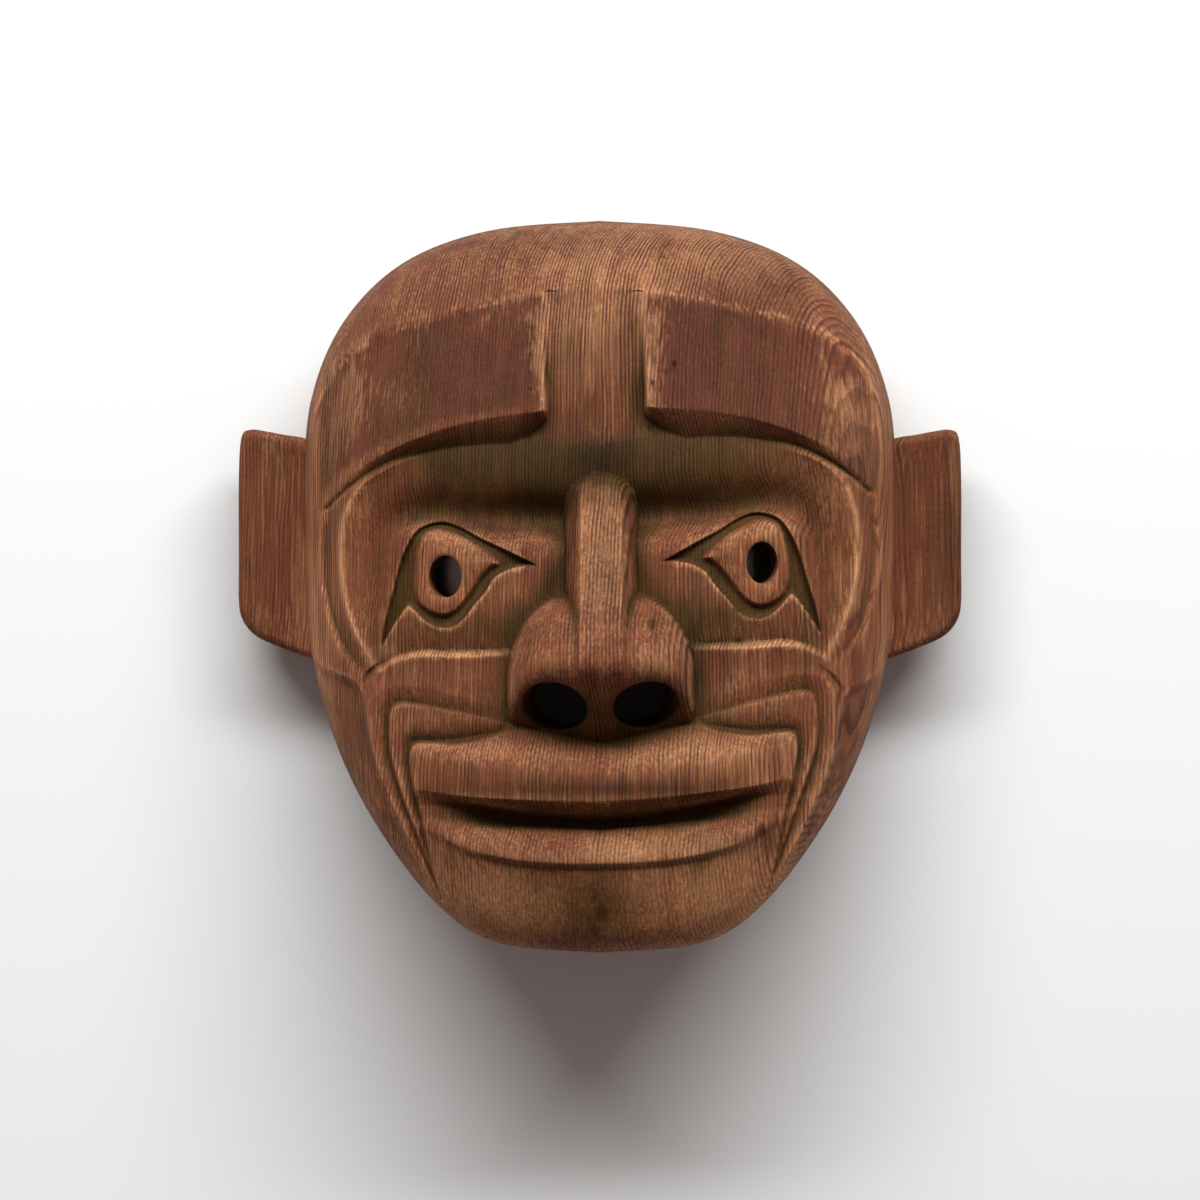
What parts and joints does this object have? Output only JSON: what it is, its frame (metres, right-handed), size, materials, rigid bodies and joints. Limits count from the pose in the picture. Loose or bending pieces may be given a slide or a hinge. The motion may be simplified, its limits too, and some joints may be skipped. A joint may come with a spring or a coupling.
{
  "type": "carved forest spirit mask",
  "caption": "Carved cedar forest spirit face mask with deep-set eyes, flared nostrils, broad lips, block ears and a hollowed back.",
  "frame": {"origin": "middle of the bounding box's underside, in the plane of the flat back rim that the mask lies on", "axes": "+Z out of the face, +Y from the chin to the crown, +X towards the picture's right ear"},
  "size_m": [0.2792, 0.2764, 0.1295],
  "materials": {
    "cedar": "satin oiled red cedar with dark straight grain"
  },
  "bodies": {
    "root": {"mask": "cedar"}
  },
  "joints": []
}
